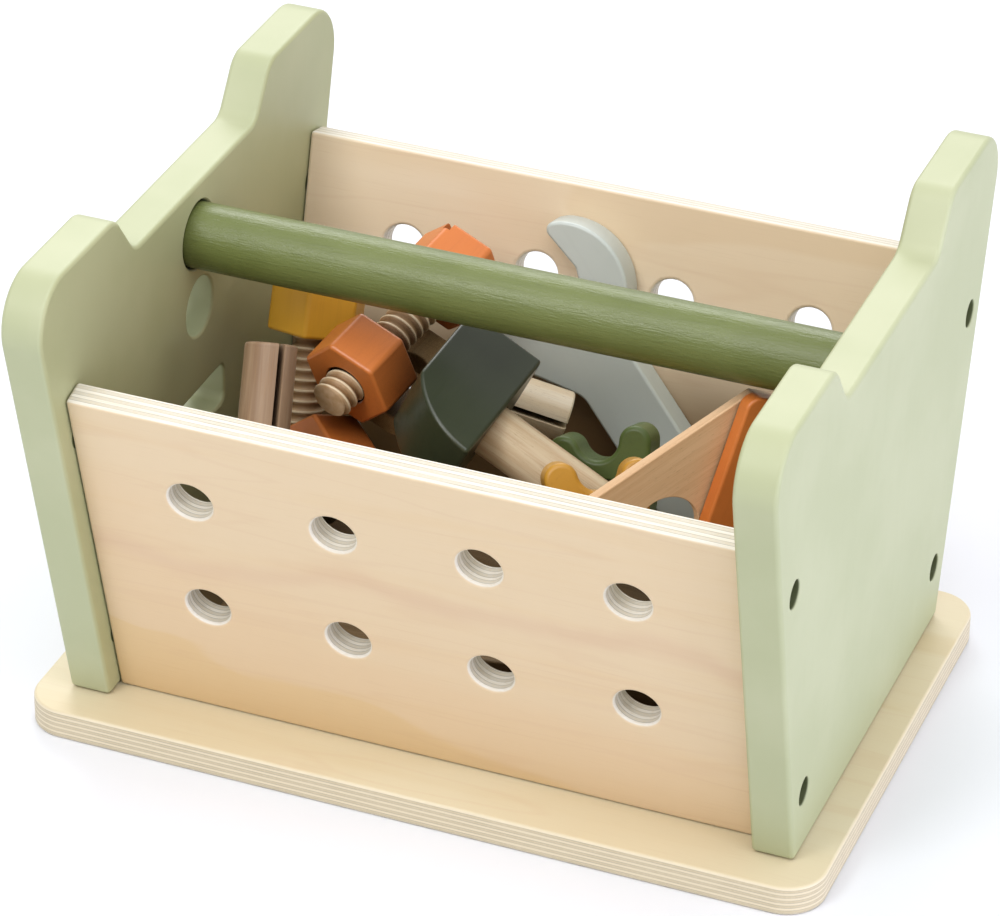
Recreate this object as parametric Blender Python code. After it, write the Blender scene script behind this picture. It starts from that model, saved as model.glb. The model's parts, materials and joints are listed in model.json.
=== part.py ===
# Wooden toy workshop set: a perforated-sided tool box with a carrying rod and a
# load of wooden tools, bolts, nuts, pegs and perforated planks.
#
# Frame: +Z up, +X to the right when the box is seen from its front long side,
# origin in the middle of the base plate's underside.
# All driving dimensions below are in millimetres and become metres through MM.

import bpy
import bmesh
from math import acos, ceil, cos, pi, radians, sin, sqrt, tan
from mathutils import Matrix, Vector

MM = 0.001
GAP = 0.3                  # clearance between pieces that touch

# ---------------------------------------------------------------- the box
BASE_L, BASE_W, BASE_T = 300.0, 199.0, 11.5
BASE_CORNER_R = 15.0

END_X_IN, END_X_OUT = 121.9, 137.5          # inner and outer face of an end panel
END_HALF_BOTTOM = 83.4                      # half width on the base
SLOPE_END = 0.248                           # outward lean of the end panel's edges
HORN_Z = 198.3                              # top of the two corner horns
SADDLE_Z = 179.2                            # lower middle of the top edge

PANEL_Y_IN = 64.3                           # inner face of a long panel at the base
PANEL_LEAN = 0.251                          # outward lean of the long panels
PANEL_T = 10.2
PANEL_TOP_Z = 150.0                         # outer top arris
HOLE_X = (-80.1, -26.7, 26.7, 80.1)
HOLE_Z = (113.9, 63.0)
HOLE_R = 8.25

ROD_Z, ROD_R, ROD_SEAT = 158.7, 12.2, 9.0
PORT_Z, PORT_R = 129.2, 11.25               # round port in the left end panel
SLOT_Z, SLOT_L, SLOT_H, SLOT_R = 87.4, 38.4, 16.0, 3.5

SCREW_AT = ((99.7, 131.4), (75.8, 36.4))    # (|y|, z) of the side screws
COUNTERBORE_R, COUNTERBORE_D = 5.0, 7.0
SCREW_HEAD_R, SCREW_HEAD_T = 4.4, 3.0
SCREW_SHANK_R, SCREW_L = 1.9, 32.0

# ---------------------------------------------------------------- the load
HEX_AF, HEX_T = 32.0, 20.0                  # all hexagonal nuts and heads
THREAD_R, THREAD_DEPTH, THREAD_PITCH = 7.7, 1.3, 4.0
NUT_BORE_R = 8.05
PEG_R, PEG_KERF = 9.4, 2.2
PLANK_W, PLANK_T, PLANK_PITCH = 33.0, 10.0, 53.4
PLANK_HOLE_R = 8.25

HAMMER_L, HAMMER_H, HAMMER_T = 55.6, 31.2, 30.6
HAMMER_ARC_R = 36.0
HANDLE_R, HANDLE_L, HANDLE_IN = 9.75, 95.0, 20.0

WRENCH_T = 12.3
SQUARE_LEG, SQUARE_T = 74.0, 4.0
SQUARE_TIP = (-4.1, -1.5)                   # upper end of the blade's long edge
SQUARE_BAR_W, SQUARE_BAR_T = 20.0, 6.4      # the thick bar glued on along one leg
SQUARE_HOLE_R, SQUARE_HOLE_AT = 12.5, (10.6, -56.4)
WING_T, WING_LOBE_X, WING_LOBE_Y, WING_LOBE_R = 15.0, 13.6, 20.0, 6.0
WING_BODY_R, WING_VALLEY_Y, WING_BORE_R = 15.0, 15.2, 8.05


# ---------------------------------------------------------------- helpers
def clear_scene():
    for obj in list(bpy.data.objects):
        bpy.data.objects.remove(obj, do_unlink=True)


def finish(name, rgb, roughness, metallic=0.0):
    """A plain finish for one piece; rgb is the colour as seen on a screen."""
    mat = bpy.data.materials.new(name + "_finish")
    mat.use_nodes = True
    shader = mat.node_tree.nodes["Principled BSDF"]
    linear = [((c + 0.055) / 1.055) ** 2.4 if c > 0.04045 else c / 12.92 for c in rgb]
    shader.inputs["Base Color"].default_value = (*linear, 1.0)
    shader.inputs["Roughness"].default_value = roughness
    shader.inputs["Metallic"].default_value = metallic
    mat.diffuse_color = (*linear, 1.0)
    return mat


SAGE = ((0.80, 0.84, 0.71), 0.45)
GREEN_ROD = ((0.49, 0.58, 0.34), 0.40)
BIRCH = ((0.93, 0.84, 0.69), 0.55)
BEECH = ((0.80, 0.66, 0.50), 0.55)
ORANGE = ((0.80, 0.46, 0.26), 0.40)
YELLOW = ((0.78, 0.58, 0.24), 0.40)
DARK_GREEN = ((0.22, 0.26, 0.20), 0.35)
LEAF_GREEN = ((0.33, 0.40, 0.24), 0.40)
GREY = ((0.66, 0.67, 0.63), 0.40)
STEEL = ((0.45, 0.44, 0.40), 0.35)


def rounded(corners, step=18.0):
    """Outline through corners (x, y, r), each turned into an arc of radius r."""
    out = []
    count = len(corners)
    for i, (bx, by, r) in enumerate(corners):
        b = Vector((bx, by))
        if r <= 0:
            out.append((bx, by))
            continue
        a = Vector(corners[i - 1][:2])
        c = Vector(corners[(i + 1) % count][:2])
        u, v = (a - b).normalized(), (c - b).normalized()
        inner = acos(max(-1.0, min(1.0, u.dot(v))))
        reach = r / tan(inner / 2)
        centre = b + (u + v).normalized() * (r / sin(inner / 2))
        start, end = b + u * reach - centre, b + v * reach - centre
        turn = pi - inner
        steps = max(1, ceil(turn / radians(step)))
        way = 1.0 if start.cross(end) > 0 else -1.0
        for k in range(steps + 1):
            angle = way * turn * k / steps
            out.append((centre.x + start.x * cos(angle) - start.y * sin(angle),
                        centre.y + start.x * sin(angle) + start.y * cos(angle)))
    return out


def circle(cx, cy, r, first, last, steps):
    """Points on an arc from angle first to angle last, in degrees."""
    return [(cx + r * cos(radians(first + (last - first) * k / steps)),
             cy + r * sin(radians(first + (last - first) * k / steps)))
            for k in range(steps + 1)]


def new_object(name, bm, look=None, parent=None):
    mesh = bpy.data.meshes.new(name)
    bm.normal_update()
    bm.to_mesh(mesh)
    bm.free()
    obj = bpy.data.objects.new(name, mesh)
    bpy.context.collection.objects.link(obj)
    if look:
        obj.data.materials.append(finish(name, *look))
    if parent:
        obj.parent = parent
    return obj


def slab(name, outline, low, high, look=None, parent=None):
    """A flat outline in local XY, extruded from z=low to z=high (mm)."""
    area = sum(outline[i - 1][0] * p[1] - p[0] * outline[i - 1][1]
               for i, p in enumerate(outline))
    if area < 0:
        outline = outline[::-1]
    bm = bmesh.new()
    face = bm.faces.new([bm.verts.new((x * MM, y * MM, low * MM)) for x, y in outline])
    grown = bmesh.ops.extrude_face_region(bm, geom=[face])
    top = [v for v in grown["geom"] if isinstance(v, bmesh.types.BMVert)]
    bmesh.ops.translate(bm, verts=top, vec=(0, 0, (high - low) * MM))
    bmesh.ops.recalc_face_normals(bm, faces=bm.faces[:])
    return new_object(name, bm, look, parent)


def turned(name, profile, sides, look=None, parent=None, smooth=True):
    """A turned piece along local Z through (radius, z) pairs, low z first."""
    bm = bmesh.new()
    rings = []
    for r, z in profile:
        rings.append([bm.verts.new((r * MM * cos(2 * pi * k / sides),
                                    r * MM * sin(2 * pi * k / sides), z * MM))
                      for k in range(sides)])
    for lower, upper in zip(rings, rings[1:]):
        for k in range(sides):
            n = (k + 1) % sides
            bm.faces.new((lower[k], lower[n], upper[n], upper[k]))
    bm.faces.new(rings[0][::-1])
    bm.faces.new(rings[-1])
    bmesh.ops.recalc_face_normals(bm, faces=bm.faces[:])
    obj = new_object(name, bm, look, parent)
    if smooth:
        obj.data.shade_smooth()
        obj.data.set_sharp_from_angle(angle=radians(35))
    return obj


def threaded(name, length, low, look, parent, sides=12, per_pitch=2):
    """A threaded wooden dowel along local Z: a helical groove on a round rod."""
    bm = bmesh.new()
    levels = round(length / THREAD_PITCH * per_pitch)
    rings = []
    for j in range(levels + 1):
        z = length * j / levels
        ring = []
        for k in range(sides):
            phase = (z / THREAD_PITCH - k / sides) % 1.0
            depth = THREAD_DEPTH * max(0.0, 1.0 - abs(phase - 0.5) / 0.34)
            if j in (0, levels):
                depth = max(depth, 0.9)
            r = THREAD_R - depth
            ring.append(bm.verts.new((r * MM * cos(2 * pi * k / sides),
                                      r * MM * sin(2 * pi * k / sides),
                                      (low + z) * MM)))
        rings.append(ring)
    for lower, upper in zip(rings, rings[1:]):
        for k in range(sides):
            n = (k + 1) % sides
            bm.faces.new((lower[k], lower[n], upper[n], upper[k]))
    bm.faces.new(rings[0][::-1])
    bm.faces.new(rings[-1])
    bmesh.ops.recalc_face_normals(bm, faces=bm.faces[:])
    obj = new_object(name, bm, look, parent)
    obj.data.shade_smooth()
    obj.data.set_sharp_from_angle(angle=radians(50))
    return obj


def soften(obj, width, segments=2, angle=38.0):
    """Rounded arrises."""
    mod = obj.modifiers.new("soft_edges", "BEVEL")
    mod.width = width * MM
    mod.segments = segments
    mod.limit_method = "ANGLE"
    mod.angle_limit = radians(angle)
    mod.use_clamp_overlap = True
    return obj


def cut(obj, cutter):
    """Take the cutter's shape out of the object."""
    cutter.hide_render = True
    cutter.display_type = "WIRE"
    if cutter.parent is None and obj.parent is not None:
        cutter.parent = obj.parent
    mod = obj.modifiers.new("cut_" + cutter.name, "BOOLEAN")
    mod.operation = "DIFFERENCE"
    mod.solver = "EXACT"
    mod.object = cutter
    return obj


def frame(origin, ex, ey):
    """Place and direction of a piece: local X and Y in world terms."""
    x = Vector(ex).normalized()
    z = x.cross(Vector(ey)).normalized()
    y = z.cross(x)
    m = Matrix((x, y, z)).transposed().to_4x4()
    m.translation = Vector(origin) * MM
    return m


def put(obj, matrix):
    obj.location = matrix.to_translation()
    obj.rotation_mode = "QUATERNION"
    obj.rotation_quaternion = matrix.to_quaternion()
    return obj


def group(name, matrix=None):
    empty = bpy.data.objects.new(name, None)
    bpy.context.collection.objects.link(empty)
    if matrix is not None:
        put(empty, matrix)
    return empty


# Local frames that stand a flat outline upright.
ALONG_X = ((0, 1, 0), (0, 0, 1))            # outline in the YZ plane, thickness +X


# ---------------------------------------------------------------- the box
def hexagon(af, turn=0.0):
    r = af / sqrt(3.0)
    return [(r * cos(radians(60 * k + turn)), r * sin(radians(60 * k + turn)))
            for k in range(6)]


def base_plate():
    x, y, r = BASE_L / 2, BASE_W / 2, BASE_CORNER_R
    plate = slab("base_plate",
                 rounded([(x, -y, r), (x, y, r), (-x, y, r), (-x, -y, r)], 15),
                 0.0, BASE_T, BIRCH)
    return soften(plate, 1.5)


def end_outline():
    top_out = END_HALF_BOTTOM + SLOPE_END * (HORN_Z - BASE_T)
    half = [(END_HALF_BOTTOM, BASE_T + GAP, 0.0),
            (top_out, HORN_Z, 19.0),
            (64.9, HORN_Z, 11.0),
            (51.0, SADDLE_Z, 8.5)]
    mirrored = [(-y, z, r) for y, z, r in reversed(half)]
    return rounded(half + mirrored, 18)


def side_screw_holes(panel, side, tag):
    """Counterbored clearance holes for the four side screws of one end panel."""
    for sy in (-1, 1):
        for k, (y, z) in enumerate(SCREW_AT):
            mouth = END_X_OUT + 1.0 - END_X_IN
            cutter = turned("screw_hole_%s_%d_%d" % (tag, sy, k),
                            [(2.4, -1.0), (2.4, END_X_OUT - END_X_IN - COUNTERBORE_D),
                             (COUNTERBORE_R, END_X_OUT - END_X_IN - COUNTERBORE_D),
                             (COUNTERBORE_R, mouth)], 12, smooth=False)
            put(cutter, frame((side * END_X_IN, sy * y, z), (0, side, 0), (0, 0, 1)))
            cut(panel, cutter)


def end_panel(name, side):
    outline = end_outline()
    low, high = (END_X_IN, END_X_OUT) if side > 0 else (-END_X_OUT, -END_X_IN)
    panel = slab(name, outline, low, high, SAGE)
    put(panel, frame((0, 0, 0), *ALONG_X))
    soften(panel, 1.8)
    seat = turned(name + "_rod_seat",
                  [(ROD_R + 0.4, -2.0), (ROD_R + 0.4, ROD_SEAT)], 32, smooth=False)
    put(seat, frame((side * END_X_IN, 0, ROD_Z), (0, side, 0), (0, 0, 1)))
    cut(panel, seat)
    side_screw_holes(panel, side, name)
    if side < 0:
        port = turned("port_cutter", [(PORT_R, -30.0), (PORT_R, 30.0)], 28, smooth=False)
        put(port, frame((-END_X_OUT, 0, PORT_Z), (0, 1, 0), (0, 0, 1)))
        cut(panel, port)
        x, y = SLOT_L / 2, SLOT_H / 2
        slot = slab("slot_cutter", rounded([(x, -y, SLOT_R), (x, y, SLOT_R),
                                            (-x, y, SLOT_R), (-x, -y, SLOT_R)], 30),
                    -30.0, 30.0)
        put(slot, frame((-END_X_OUT, 0, SLOT_Z), (0, 1, 0), (0, 0, 1)))
        cut(panel, slot)
    return panel


def long_panel(name, side):
    """A leaning perforated panel; side is -1 at the front, +1 at the back."""
    lean = sqrt(1 + PANEL_LEAN ** 2)
    run = PANEL_T * lean                              # thickness measured along Y
    low_z = BASE_T + GAP
    inner = lambda z: PANEL_Y_IN + PANEL_LEAN * (z - BASE_T)
    out_top = (inner(PANEL_TOP_Z) + run, PANEL_TOP_Z)
    in_top = (out_top[0] - PANEL_T / lean, PANEL_TOP_Z + PANEL_T * PANEL_LEAN / lean)
    section = [(inner(low_z), low_z), (inner(low_z) + run, low_z), out_top, in_top]
    if side < 0:
        section = [(-y, z) for y, z in section]
    reach = END_X_IN - GAP
    panel = slab(name, section, -reach, reach, BIRCH)
    put(panel, frame((0, 0, 0), *ALONG_X))
    soften(panel, 1.0, 2, 60)
    # the perforations, drilled square to the panel
    normal = Vector((0, side, -PANEL_LEAN)).normalized()
    for z in HOLE_Z:
        y = side * (inner(z) + run)
        for x in HOLE_X:
            hole = turned("%s_hole_%d_%d" % (name, round(x), round(z)),
                          [(HOLE_R, -25.0), (HOLE_R, 10.0)], 16, smooth=False)
            put(hole, frame((x, y, z), (1, 0, 0), normal.cross(Vector((1, 0, 0)))))
            cut(panel, hole)
    # pilot holes in the two end grains for the side screws
    for sx in (-1, 1):
        for k, (y, z) in enumerate(SCREW_AT):
            pilot = turned("%s_pilot_%d_%d" % (name, sx, k),
                           [(2.3, -2.0), (2.3, 28.0)], 8, smooth=False)
            put(pilot, frame((sx * reach, side * y, z), (0, -sx, 0), (0, 0, 1)))
            cut(panel, pilot)
    return panel


def handle_rod():
    half = END_X_IN + ROD_SEAT - GAP
    rod = turned("handle_rod", [(ROD_R - 1, -half), (ROD_R, -half + 1),
                                (ROD_R, half - 1), (ROD_R - 1, half)], 36, GREEN_ROD)
    put(rod, frame((0, 0, ROD_Z), (0, 1, 0), (0, 0, 1)))
    return rod


def side_screw(name, sx, sy, y, z):
    """Socket-head wood screw, sunk in its counterbore."""
    seat = END_X_OUT - COUNTERBORE_D + GAP - END_X_IN       # underside of the head
    profile = [(0.5, seat - SCREW_L), (SCREW_SHANK_R, seat - SCREW_L + 4),
               (SCREW_SHANK_R, seat), (SCREW_HEAD_R, seat),
               (SCREW_HEAD_R, seat + SCREW_HEAD_T - 0.6),
               (SCREW_HEAD_R - 0.6, seat + SCREW_HEAD_T)]
    screw = turned(name, profile, 10, STEEL)
    put(screw, frame((sx * END_X_IN, sy * y, z), (0, sx, 0), (0, 0, 1)))
    key = slab(name + "_key", hexagon(4.0), seat + SCREW_HEAD_T - 2.0,
               seat + SCREW_HEAD_T + 2.0)
    put(key, frame((sx * END_X_IN, sy * y, z), (0, sx, 0), (0, 0, 1)))
    return cut(screw, key)


# ---------------------------------------------------------------- the load
def hex_block(name, low, look, parent, turn=0.0):
    block = slab(name, hexagon(HEX_AF, turn), low, low + HEX_T, look, parent)
    return soften(block, 1.6, 2, 30)


def bore_through(obj, r, low, high, sides=20):
    tool = turned(obj.name + "_bore", [(r, low), (r, high)], sides, smooth=False,
                  parent=obj.parent)
    return cut(obj, tool)


def driver_slot(obj, at, turn, deep=4.0, wide=3.2):
    """A screwdriver slot across the end face at z=at."""
    c, s = cos(radians(turn)), sin(radians(turn))
    half = [(-22, -wide / 2), (22, -wide / 2), (22, wide / 2), (-22, wide / 2)]
    outline = [(x * c - y * s, x * s + y * c) for x, y in half]
    tool = slab(obj.name + "_slot", outline, at - deep, at + 3.0, parent=obj.parent)
    return cut(obj, tool)


def bolt(tag, origin, ex, ey, length, head_at, look, turn, slot_turn, slotted=True):
    """Threaded dowel glued into a slotted hexagonal head, along local Z."""
    holder = group(tag, frame(origin, ex, ey))
    seat = 12.0                                     # depth of the dowel in the head
    shank = threaded(tag + "_shank", head_at + seat - GAP, 0.0, BEECH, holder)
    head = hex_block(tag + "_head", head_at, look, holder, turn)
    tool = turned(tag + "_seat", [(THREAD_R + GAP, head_at - 3.0),
                                  (THREAD_R + GAP, head_at + seat)], 20,
                  smooth=False, parent=holder)
    cut(head, tool)
    if slotted:
        driver_slot(head, head_at + HEX_T, slot_turn)
    return holder, shank, head


def peg(name, origin, along, side, length):
    """A plain dowel with a lengthwise kerf; side is the way the kerf opens."""
    holder = group(name + "_axis", frame(origin, side, Vector(along).cross(Vector(side))))
    body = turned(name, [(PEG_R - 1.2, -length), (PEG_R, -length + 1.2),
                         (PEG_R, -1.2), (PEG_R - 1.2, 0.0)], 24, BEECH, holder)
    kerf = slab(name + "_kerf", [(PEG_R - 7.5, -PEG_KERF / 2), (PEG_R + 4, -PEG_KERF / 2),
                                 (PEG_R + 4, PEG_KERF / 2), (PEG_R - 7.5, PEG_KERF / 2)],
                -length - 4.0, 4.0, parent=holder)
    return cut(body, kerf)


def plank(name, origin, ex, ey, holes, pitch=PLANK_PITCH, ends=20.0, look=BEECH):
    """Perforated plank, centred on its top face, long in local X."""
    half = pitch * (holes - 1) / 2 + ends
    w = PLANK_W / 2
    board = slab(name, rounded([(half, -w, 9.0), (half, w, 9.0),
                                (-half, w, 9.0), (-half, -w, 9.0)], 30),
                 -PLANK_T, 0.0, look)
    put(board, frame(origin, ex, ey))
    soften(board, 1.2, 1)
    for k in range(holes):
        x = pitch * (k - (holes - 1) / 2)
        hole = turned("%s_hole_%d" % (name, k), [(PLANK_HOLE_R, -PLANK_T - 5),
                                                 (PLANK_HOLE_R, 5.0)], 14, smooth=False)
        m = frame(origin, ex, ey)
        m.translation = m @ Vector((x * MM, 0, 0))
        put(hole, m)
        cut(board, hole)
    return board


def hammer(origin, ex, ey):
    holder = group("hammer", frame(origin, ex, ey))
    half = HAMMER_L / 2
    centre = 8.2
    cut_x = centre - sqrt(HAMMER_ARC_R ** 2 - HAMMER_H ** 2)
    first = 180.0 - acos((centre - cut_x) / HAMMER_ARC_R) * 180 / pi
    arc = circle(centre, 0.0, HAMMER_ARC_R, first, 180.0, 7)
    outline = [(half, 0.0), (half, HAMMER_H)] + arc
    head = slab("hammer_head", outline, -HAMMER_T, 0.0, DARK_GREEN, holder)
    soften(head, 2.0, 2, 25)
    down = group("hammer_handle_axis", frame((0, 0, -HAMMER_T / 2), (1, 0, 0), (0, 0, 1)))
    down.parent = holder
    handle = turned("hammer_handle",
                    [(HANDLE_R - 1.0, -HANDLE_IN + GAP), (HANDLE_R, -HANDLE_IN + 1 + GAP),
                     (HANDLE_R, HANDLE_L - 4), (HANDLE_R - 1.2, HANDLE_L - 1.2),
                     (HANDLE_R - 4, HANDLE_L)], 28, BEECH, down)
    # local +Z of the handle's axis frame points away from the head
    seat = turned("hammer_seat", [(HANDLE_R + GAP, -HANDLE_IN), (HANDLE_R + GAP, 6.0)],
                  28, smooth=False, parent=down)
    cut(head, seat)
    return holder, head, handle


def wrench_outline():
    """Open-ended wrench in its own plane: handle along +Y, jaws at -Y."""
    # head centre and the direction of the opening (turned 12 degrees)
    head = Vector((0.6, -90.9))
    q, a = Vector((0.979, -0.203)), Vector((0.203, 0.979))
    at = lambda u, v: tuple(head + q * u + a * v)
    half_gap = 12.7
    pts = []
    # right jaw: from its tip round the outside to the neck
    for k in range(8):
        ang = radians(-64.0 + (62.0 + 64.0) * k / 7)
        x, y = at(3.0 + 25.5 * cos(ang), 1.0 + 25.5 * sin(ang))
        pts.append((x, y, 3.0 if k == 0 else 0.0))
    pts.append((12.85, -62.5, 12.0))
    # rounded handle end
    pts += [(x, y, 0.0) for x, y in circle(0.0, 33.2, 12.85, 0, 180, 8)]
    pts.append((-12.85, -52.5, 9.0))
    # left jaw: out to its back, round to the tip
    for k in range(7):
        ang = radians(150.0 + (252.0 - 150.0) * k / 6)
        x, y = at(-4.0 + 28.0 * cos(ang), 5.0 + 28.0 * sin(ang))
        pts.append((x, y, 3.0 if k == 6 else 0.0))
    # mouth: two flats and the inner corners of a hexagon
    pts.append((*at(-half_gap, -1.0), 3.0))
    pts.append((*at(-half_gap * 0.55, 8.0), 3.0))
    pts.append((*at(half_gap * 0.55, 8.0), 3.0))
    pts.append((*at(half_gap, -1.0), 3.0))
    return rounded(pts, 30)


def wrench():
    """Stands on the floor and leans flat against the back panel."""
    up = Vector((0, PANEL_LEAN, 1)).normalized()
    out = Vector((0, -1, PANEL_LEAN)).normalized()          # away from the back panel
    foot = Vector((0, PANEL_Y_IN, BASE_T))
    p = Vector((1, 0, 0)) * 0.747 + up * 0.665
    w = Vector((1, 0, 0)) * 0.665 - up * 0.747
    origin = foot + out * (GAP + WRENCH_T) + p * 59.5 + Vector((1.0, 0, 0)) - up * 1.5
    # local Z points into the panel, so the front face lies at z = 0
    body = slab("wrench", wrench_outline(), 0.0, WRENCH_T, GREY)
    put(body, frame(origin, p, w))
    return soften(body, 1.6, 2, 30)


def set_square(origin, b, c):
    """Triangular blade with a thick painted bar glued on its face along one leg.

    b runs up the bar and c away from it; local X is c and local Y is b, so
    local Z points away from the visible face, which lies at z = 0.
    """
    holder = group("set_square", frame(origin, c, b))
    leg, w = SQUARE_LEG, SQUARE_BAR_W
    tip_c, tip_b = SQUARE_TIP
    far = leg + tip_b + tip_c
    blade = slab("set_square_blade",
                 rounded([(-w, -leg, 2.5), (far, -leg, 3.0), (tip_c, tip_b, 2.0),
                          (-w, tip_b, 2.5)], 40), 0.0, SQUARE_T, BEECH, holder)
    soften(blade, 0.8, 1, 30)
    hole = turned("set_square_hole", [(SQUARE_HOLE_R, -5.0), (SQUARE_HOLE_R, 15.0)],
                  24, smooth=False, parent=holder)
    hole.location = (SQUARE_HOLE_AT[0] * MM, SQUARE_HOLE_AT[1] * MM, 0)
    cut(blade, hole)
    top = tip_b + 0.6
    bar = slab("set_square_bar",
               rounded([(-w, -leg, 3.0), (0.0, -leg, 3.0), (0.0, top, 5.0), (-w, top, 4.0)], 22),
               -GAP - SQUARE_BAR_T, -GAP, ORANGE, holder)
    soften(bar, 1.2, 2, 30)
    return holder, blade, bar


def wing_nut(name, origin, ex, ey, look):
    """Two rounded ears over a round threaded body; local Z is the nut's axis."""
    lx, ly, lr, br = WING_LOBE_X, WING_LOBE_Y, WING_LOBE_R, WING_BODY_R
    vr = (lx ** 2 + (ly - WING_VALLEY_Y) ** 2 - lr ** 2) / (2 * (lr - WING_VALLEY_Y + ly))
    vc = WING_VALLEY_Y + vr
    # tangent from the body circle to an ear
    dist = sqrt(lx ** 2 + ly ** 2)
    to_ear = Vector((lx, ly)).angle_signed(Vector((1, 0)))
    tangent = to_ear - acos((br - lr) / dist)
    meet = Vector((lx, ly - vc)).angle_signed(Vector((1, 0)))     # from the valley's centre
    deg = 180 / pi
    body = circle(0, 0, br, -90, tangent * deg, 7)
    ear = circle(lx, ly, lr, tangent * deg, meet * deg + 180, 6)
    valley = circle(0, vc, vr, meet * deg, -90, 3)[1:]
    right = body + ear + valley
    left = [(-x, y) for x, y in reversed(right[1:-1])]
    nut = slab(name, right + left, -WING_T, 0.0, look)
    put(nut, frame(origin, ex, ey))
    soften(nut, 1.8, 2, 35)
    tool = turned(name + "_bore", [(WING_BORE_R, -WING_T - 5), (WING_BORE_R, 5.0)],
                  20, smooth=False)
    put(tool, frame(origin, ex, ey))
    return cut(nut, tool)


# ---------------------------------------------------------------- the set
clear_scene()

base_plate()
end_panel("end_panel_left", -1)
end_panel("end_panel_right", 1)
long_panel("front_panel", -1)
long_panel("back_panel", 1)
handle_rod()
for sx, end in ((-1, "left"), (1, "right")):
    for sy, face in ((-1, "front"), (1, "back")):
        for level, (y, z) in zip(("upper", "lower"), SCREW_AT):
            side_screw("screw_%s_%s_%s" % (end, face, level), sx, sy, y, z)

# orange bolt with its nut, lying on the short plank
BOLT_A_AXIS = Vector((0.252, 0.929, 0.272)).normalized()
BOLT_A_END = Vector((-65.7, -12.4, 109.0))
BOLT_A_UP = Vector((0.246, -0.333, 0.910))
side_a = BOLT_A_UP.cross(BOLT_A_AXIS)
bolt("bolt_orange", BOLT_A_END, side_a, BOLT_A_AXIS.cross(side_a), 0, 63.4,
     ORANGE, 2.0, 62.0)
nut_a = group("nut_orange_axis", frame(BOLT_A_END, side_a, BOLT_A_AXIS.cross(side_a)))
bore_through(hex_block("nut_orange", 9.24, ORANGE, nut_a, 0.0), NUT_BORE_R, 4.0, 34.0)

# yellow bolt, hanging head up with its shank between the planks
BOLT_B_AXIS = Vector((-0.012, 0.351, 0.936)).normalized()
BOLT_B_X = Vector((-0.846, -0.503, 0.177))
BOLT_B_HEAD = Vector((-91.8, 33.7, 107.45))
bolt("bolt_yellow", BOLT_B_HEAD - BOLT_B_AXIS * 50.0, BOLT_B_X,
     BOLT_B_AXIS.cross(BOLT_B_X), 0, 50.0, YELLOW, 8.0, 158.0)

# loose orange nut under the first
NUT_B_AXIS = Vector((0.514, 0.780, -0.357)).normalized()
NUT_B_UP = Vector((0.014, 0.408, 0.913))
NUT_B_TOP = Vector((-75.4, -5.3, 98.0))
nut_b_x = NUT_B_UP.cross(NUT_B_AXIS)
nut_b = group("nut_orange_loose_axis",
              frame(NUT_B_TOP - NUT_B_UP * (HEX_AF / sqrt(3.0)), nut_b_x, NUT_B_UP))
bore_through(hex_block("nut_orange_loose", 0.0, ORANGE, nut_b, 30.0),
             NUT_BORE_R, -5.0, 25.0)

# two slotted pegs
peg("peg_left", (-82.94, -24.3, 135.43), (-0.137, 0.552, 0.820), (0.708, -0.533, 0.464), 50.0)
peg("peg_right", (0.7, 53.65, 81.4), (0.929, 0.222, -0.299), (0.316, -0.939, 0.135), 34.0)

hammer((-1.4, -4.3, 117.7), (0.123, 0.978, 0.171), (-0.888, 0.031, 0.458))
wrench()
set_square((86.9, -6.3, 147.3), (0.194, 0.299, 0.934), (-0.675, -0.651, 0.348))
wing_nut("wing_nut_green", (30.9, 14.7, 74.3), (0.943, 0.153, 0.295),
         (-0.332, 0.359, 0.872), LEAF_GREEN)
wing_nut("wing_nut_yellow", (45.6, -29.9, 90.4), (0.881, 0.473, 0.010),
         (-0.237, 0.422, 0.875), YELLOW)

# the short plank under the orange bolt, dropping away a little towards its head
drop = 0.057
along_a = (BOLT_A_AXIS - BOLT_A_UP * drop).normalized()
SHORT_FROM, SHORT_TO = 19.0, 62.0
middle = (SHORT_FROM + SHORT_TO) / 2
plank("plank_short",
      BOLT_A_END + BOLT_A_AXIS * middle - BOLT_A_UP * (16.9 + drop * (middle - 29.0))
      - side_a * 6.7, along_a, side_a.cross(BOLT_A_AXIS).cross(along_a) * -1.0, 1,
      ends=(SHORT_TO - SHORT_FROM) / 2)

# long planks lying under the tools
plank("plank_long_1", (-4.0, -38.0, 21.9), (1.0, 0.02, 0.0), (0.0, 1.0, 0.0), 4)
plank("plank_long_2", (5.0, 1.0, 21.9), (1.0, -0.03, 0.0), (0.0, 1.0, 0.0), 4)
plank("plank_long_3", (1.0, -22.0, 32.3), (1.0, 0.13, 0.0), (0.0, 1.0, 0.0), 4)
plank("plank_long_4", (-3.0, 4.0, 42.7), (1.0, -0.10, 0.0), (0.0, 1.0, 0.0), 4)
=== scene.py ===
import json
from math import acos, ceil, cos, pi, radians, sin, sqrt, tan

import bmesh
import bpy
from mathutils import Matrix, Vector


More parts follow.
